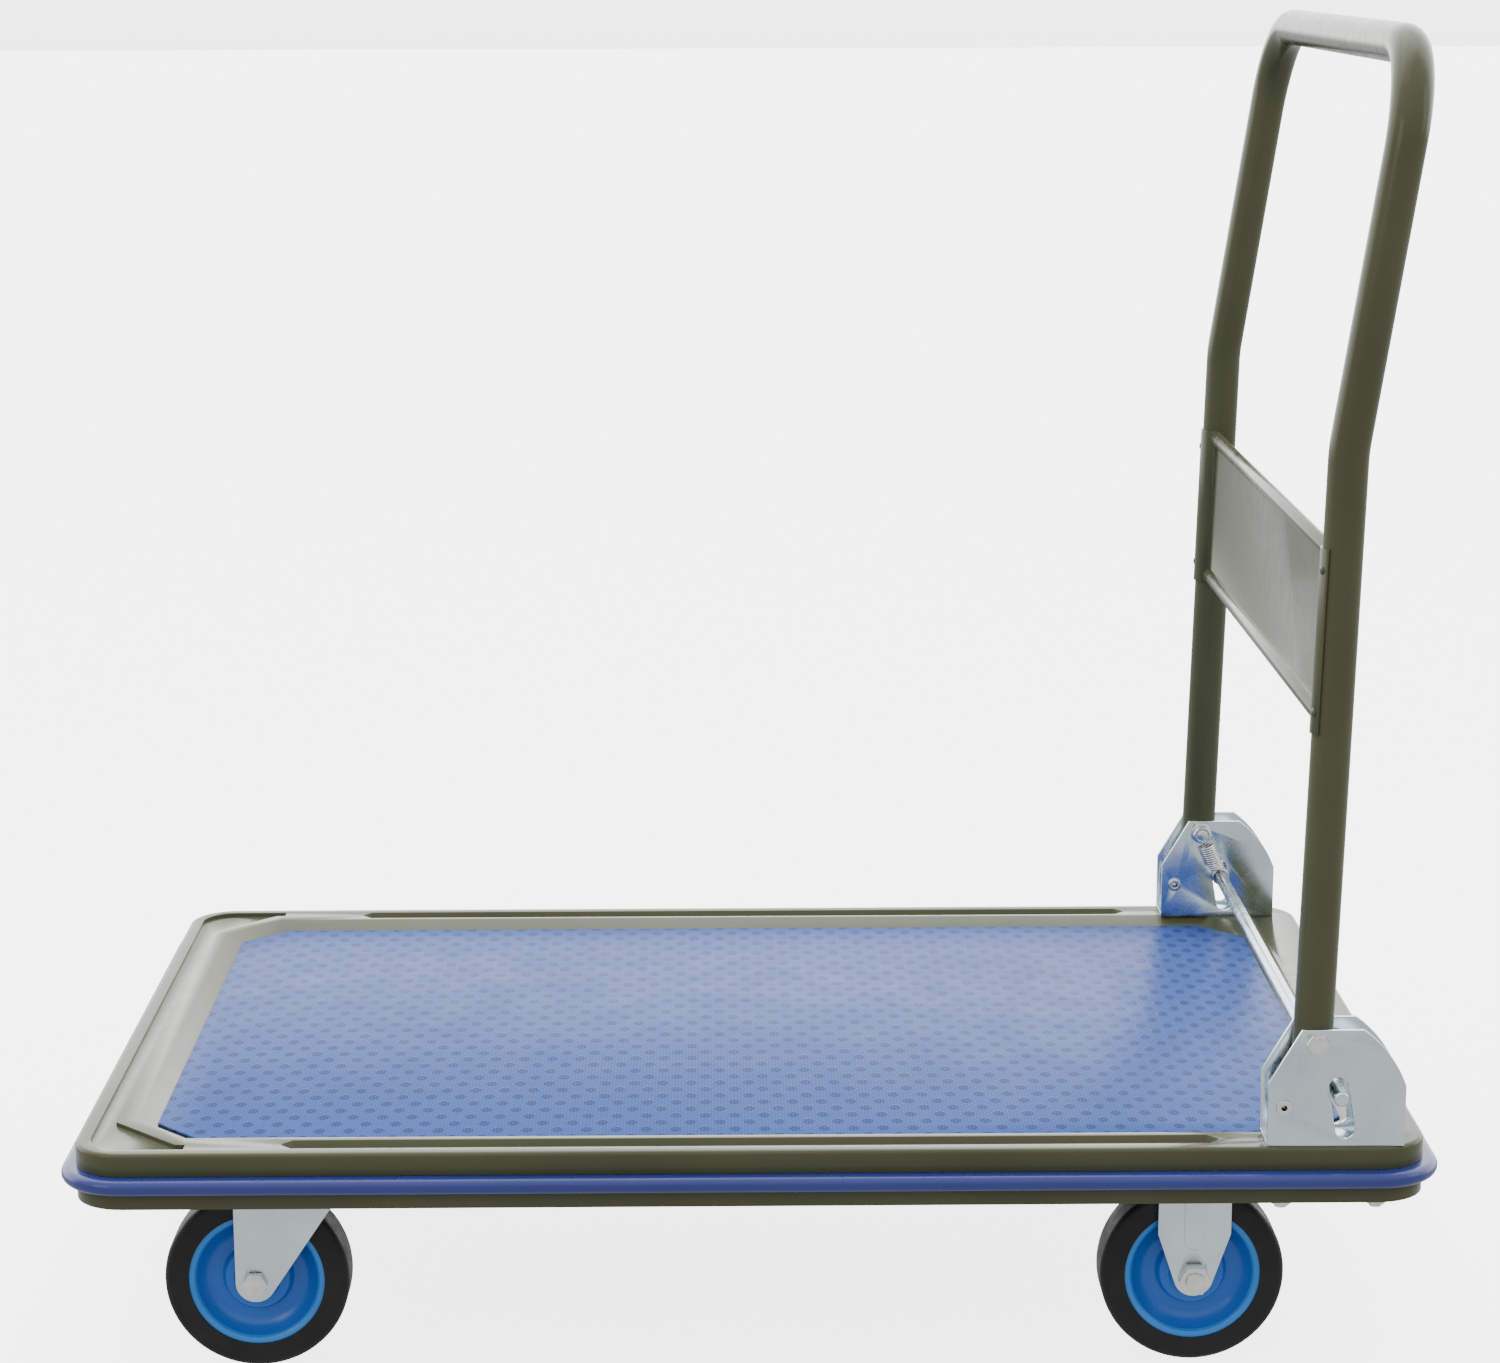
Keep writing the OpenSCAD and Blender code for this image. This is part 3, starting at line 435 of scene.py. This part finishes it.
for hand in ("left", "right"):
    smooth_copy("swivel_fork_" + hand, "swivel_" + hand, zinc, edge=0.0005)

# ---- Bolts, nuts, washers, rivets, pins and sleeves ---------------------------------------
# Turned and cold-headed steel in bright zinc, less blue than the plates.
bright, tree, shader = new_material("bright_zinc")
tree.links.new(ramp(tree, noise(tree, 120, 3), [(0.3, (0.56, 0.57, 0.55)), (0.7, (0.72, 0.72, 0.70))]),
               shader.inputs["Base Color"])
tree.links.new(spread(tree, noise(tree, 240, 3), 0.18, 0.32), shader.inputs["Roughness"])
bump(tree, shader, noise(tree, 900, 2), 0.00002, 0.5)
shader.inputs["Metallic"].default_value = 1.0
for node in ("bracket_bolts", "bracket_nuts", "bracket_sleeves", "pivot_bolts", "pivot_washers",
             "pivot_nuts", "stop_rivets", "caster_bolts", "caster_nuts", "rigid_axles",
             "rigid_axle_nuts", "rigid_sleeves", "swivel_balls_left", "swivel_balls_right"):
    smooth_copy(node, "deck", bright, edge=0.0003)
smooth_copy("pivot_bushings", "handle", bright, edge=0.0003)
smooth_copy("foot_bar_clips", "foot_bar", bright, edge=0.0002)
for hand in ("left", "right"):
    for stem in ("kingpin_", "swivel_axle_", "swivel_axle_nut_", "swivel_sleeve_"):
        smooth_copy(stem + hand, "swivel_" + hand, bright, edge=0.0003)

# ---- Tyres and rims -----------------------------------------------------------------------
# Black rubber moulded round a blue plastic rim.
rubber, tree, shader = new_material("tyre_rubber")
tree.links.new(ramp(tree, noise(tree, 35, 4), [(0.3, (0.008, 0.008, 0.009)), (0.7, (0.013, 0.013, 0.014))]),
               shader.inputs["Base Color"])
tree.links.new(spread(tree, noise(tree, 80, 3), 0.45, 0.6), shader.inputs["Roughness"])
bump(tree, shader, noise(tree, 700, 3), 0.00008, 0.5)
shader.inputs["IOR"].default_value = 1.3
plastic, tree, shader = new_material("rim_plastic")
tree.links.new(ramp(tree, noise(tree, 14, 2), [(0.3, (0.002, 0.085, 0.38)), (0.7, (0.003, 0.105, 0.46))]),
               shader.inputs["Base Color"])
tree.links.new(spread(tree, noise(tree, 60, 2), 0.2, 0.3), shader.inputs["Roughness"])
bump(tree, shader, noise(tree, 300, 2), 0.00004, 0.4)
shader.inputs["IOR"].default_value = 1.45
# a paler copy of the rim plastic for the outer ring: a painted highlight where light falls on the lip
rim_ring_painted_highlight, tree, shader = new_material("rim_plastic_painted_highlight")
tree.links.new(ramp(tree, noise(tree, 14, 2), [(0.3, (0.008, 0.15, 0.50)), (0.7, (0.012, 0.18, 0.58))]),
               shader.inputs["Base Color"])
tree.links.new(spread(tree, noise(tree, 60, 2), 0.3, 0.42), shader.inputs["Roughness"])
bump(tree, shader, noise(tree, 300, 2), 0.00005, 0.5)
shader.inputs["IOR"].default_value = 1.5
DISH_R = 0.0412
for place_name in ("swivel_left", "swivel_right", "rigid_left", "rigid_right"):
    smooth_copy("tyre_" + place_name, "wheel_" + place_name, rubber, edge=0,
                flat=False)
    rim = smooth_copy("rim_" + place_name, "wheel_" + place_name, plastic, edge=0,
                       flat=False)
    # the outer ring is painted paler than the dish: a painted highlight on the lit lip against the dish
    rim.data.materials.append(rim_ring_painted_highlight)
    axle = middle("tyre_" + place_name)
    for face in rim.data.polygons:
        if math.hypot(face.center.x - axle.x, face.center.z - axle.z) > DISH_R:
            face.material_index = 1

# ---- Springs ------------------------------------------------------------------------------
# Close-coiled tension springs of 1.6 mm wire, each with a turned-out eye round the pivot bolt
# and another round the foot bar at rest. They keep to the deck and don't stretch.
WIRE_R = 0.0008
COIL_R = 0.0052
COIL_TOP = 0.0095
COIL_LENGTH = 0.0220
COIL_TURNS = 11
UPPER_EYE = 0.0051
LOWER_EYE = 0.0061
EYE_DISTANCE = 0.0401
SPRING_Y = 0.2568
SPRING_LEAN = math.radians(24.5)
WIRE_SIDES = 12
STEPS_A_TURN = 24
for hand, direction in (("left", -1), ("right", 1)):
    parts = []
    for eye_radius, height in ((UPPER_EYE, 0.0), (LOWER_EYE, -EYE_DISTANCE)):
        bpy.ops.object.select_all(action="DESELECT")
        bpy.ops.mesh.primitive_torus_add(major_segments=40, minor_segments=WIRE_SIDES,
                                         major_radius=eye_radius, minor_radius=WIRE_R,
                                         location=(0, 0, height),
                                         rotation=(math.pi / 2, 0, 0))
        parts.append(bpy.context.object)
    # the coil: a circle of wire carried round and down by a screw
    bpy.ops.object.select_all(action="DESELECT")
    bpy.ops.mesh.primitive_circle_add(vertices=WIRE_SIDES, radius=WIRE_R, fill_type="NGON",
                                      location=(0, 0, 0), rotation=(math.pi / 2, 0, 0))
    coil = bpy.context.object
    bpy.ops.object.transform_apply(location=False, rotation=True, scale=False)
    bpy.ops.object.mode_set(mode="EDIT")
    bpy.ops.mesh.select_all(action="SELECT")
    bpy.ops.transform.translate(value=(0, direction * COIL_R, 0))
    bpy.ops.transform.rotate(value=math.pi / 2, orient_axis="Z",
                             center_override=(0, direction * COIL_R, 0))
    bpy.ops.object.mode_set(mode="OBJECT")
    wind = coil.modifiers.new("wind", "SCREW")
    wind.axis = "Z"
    wind.angle = 2 * math.pi * COIL_TURNS
    wind.screw_offset = -(COIL_LENGTH - 2 * WIRE_R)
    wind.steps = STEPS_A_TURN * COIL_TURNS
    wind.render_steps = STEPS_A_TURN * COIL_TURNS
    wind.use_merge_vertices = True
    wind.merge_threshold = 0.00001
    bpy.ops.object.modifier_apply(modifier=wind.name)
    bpy.ops.object.mode_set(mode="EDIT")
    bpy.ops.mesh.select_all(action="SELECT")
    bpy.ops.transform.translate(value=(0, -direction * COIL_R, -COIL_TOP - WIRE_R))
    bpy.ops.mesh.normals_make_consistent(inside=False)
    bpy.ops.object.mode_set(mode="OBJECT")
    parts.append(coil)
    # the straight ends of the wire, from each eye into the coil
    for start, end in ((-UPPER_EYE, -COIL_TOP - 0.001),
                       (-COIL_TOP - COIL_LENGTH + 0.001, -EYE_DISTANCE + LOWER_EYE)):
        bpy.ops.object.select_all(action="DESELECT")
        bpy.ops.mesh.primitive_cylinder_add(vertices=WIRE_SIDES, radius=WIRE_R, depth=start - end,
                                            location=(0, 0, (start + end) / 2))
        parts.append(bpy.context.object)
    bpy.ops.object.select_all(action="DESELECT")
    for piece in parts:
        piece.select_set(True)
    bpy.context.view_layer.objects.active = parts[0]
    bpy.ops.object.join()
    spring = bpy.context.object
    spring.name = "spring_" + hand + "_wire"
    spring.location = (pivot.x, direction * SPRING_Y, pivot.z)
    bpy.ops.object.transform_apply(location=False, rotation=True, scale=True)
    spring.rotation_euler = (0, -SPRING_LEAN, 0)
    bpy.ops.object.transform_apply(location=True, rotation=True, scale=True)
    spring.data.materials.clear()
    spring.data.materials.append(bright)
    bpy.ops.object.shade_smooth_by_angle(angle=math.radians(50))
    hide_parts("spring_" + hand)
    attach(spring, "deck")
